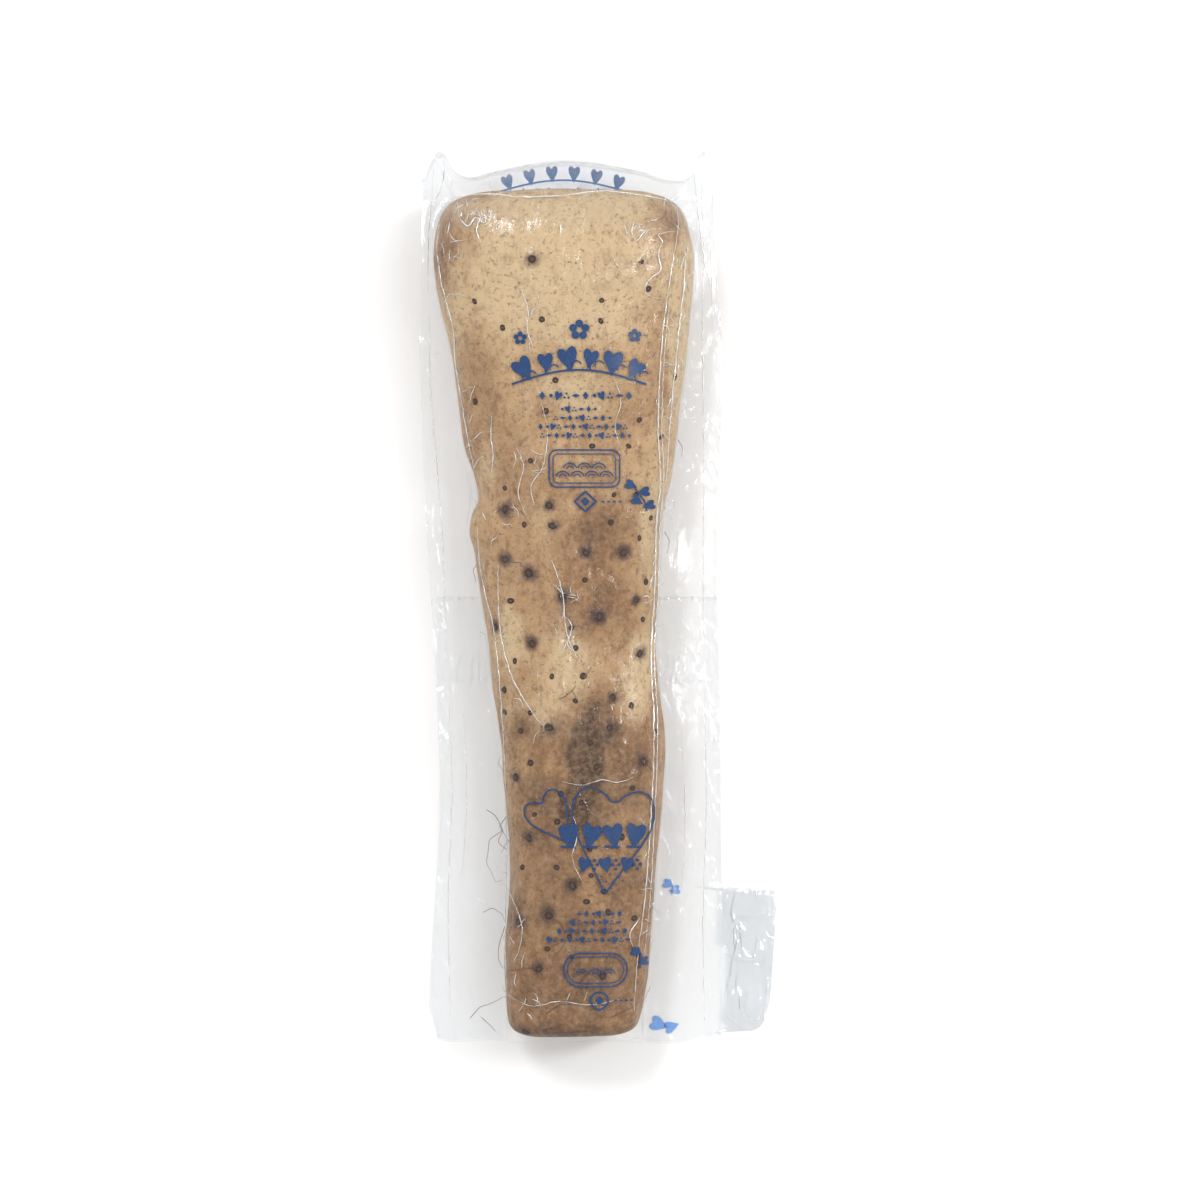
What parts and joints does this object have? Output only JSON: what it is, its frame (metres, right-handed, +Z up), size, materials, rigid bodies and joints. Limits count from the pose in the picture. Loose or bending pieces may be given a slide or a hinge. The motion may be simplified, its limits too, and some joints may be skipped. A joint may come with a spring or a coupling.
{
  "type": "vacuum-packed japanese yam",
  "caption": "Flat, paddle-shaped japanese yam with a blunt broad end and a narrower neck, drawn tight in a clear vacuum pouch with side flaps and its spare end folded under.",
  "frame": {"origin": "centre of the bounding box's bottom, on the surface the yam lies on", "axes": "+Y along the yam towards its broad end, +X to the right of someone looking down at the printed side, +Z up"},
  "size_m": [0.108, 0.2698, 0.0388],
  "materials": {
    "yam_skin": "thin, dry, light tan tuber skin with brown stains, root scars and dried rootlets",
    "pouch_film": "clear, glossy vacuum-pouch film with creases, heat seals and a blue print"
  },
  "bodies": {
    "root": {"yam_tuber": "yam_skin", "pouch_front_web": "pouch_film", "pouch_back_web": "pouch_film"}
  },
  "joints": []
}
